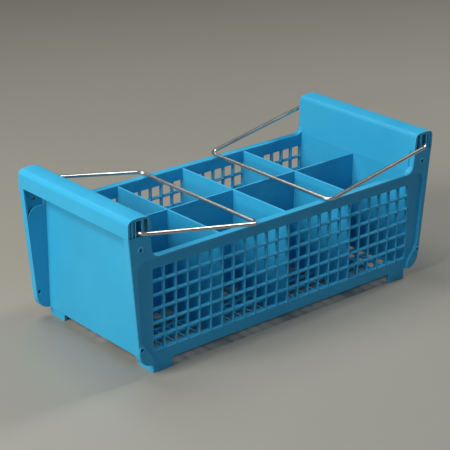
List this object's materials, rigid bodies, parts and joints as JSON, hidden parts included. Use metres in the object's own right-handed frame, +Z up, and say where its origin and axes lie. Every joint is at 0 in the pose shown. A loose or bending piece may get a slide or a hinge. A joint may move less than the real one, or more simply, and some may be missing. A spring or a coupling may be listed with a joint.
{
  "type": "wash basket",
  "caption": "Open-top moulded basket with a grid of compartments, perforated long sides, hollow grip rims on its raised ends and two swinging wire bails.",
  "frame": {"origin": "centre of the rectangle that the four feet stand on", "axes": "+X along the basket, +Y across it to the rear, +Z up"},
  "size_m": [0.43, 0.2012, 0.1748],
  "materials": {
    "moulding": "semi-matt blue polypropylene, fine moulded grain",
    "wire": "bright drawn stainless wire"
  },
  "bodies": {
    "basket": {"floor_grid": "moulding", "front_side_panel": "moulding", "rear_side_panel": "moulding", "front_top_rail": "moulding", "rear_top_rail": "moulding", "front_left_flange": "moulding", "front_right_flange": "moulding", "rear_left_flange": "moulding", "rear_right_flange": "moulding", "left_end_panel": "moulding", "right_end_panel": "moulding", "left_end_header": "moulding", "right_end_header": "moulding", "left_grip_rim": "moulding", "right_grip_rim": "moulding", "lengthwise_divider": "moulding", "left_cross_divider": "moulding", "middle_cross_divider": "moulding", "right_cross_divider": "moulding", "front_left_foot": "moulding", "front_right_foot": "moulding", "rear_left_foot": "moulding", "rear_right_foot": "moulding"},
    "left_handle": {"left_bail": "wire"},
    "right_handle": {"right_bail": "wire"}
  },
  "joints": [
    {"name": "left_bail_swing", "type": "hinge", "parent": "basket", "child": "left_handle", "pos_m": [-0.2016, 0, 0.159], "axis": [0, -1, 0], "range_deg": [0, 280]},
    {"name": "right_bail_swing", "type": "hinge", "parent": "basket", "child": "right_handle", "pos_m": [0.2016, 0, 0.159], "axis": [0, 1, 0], "range_deg": [0, 280]}
  ]
}
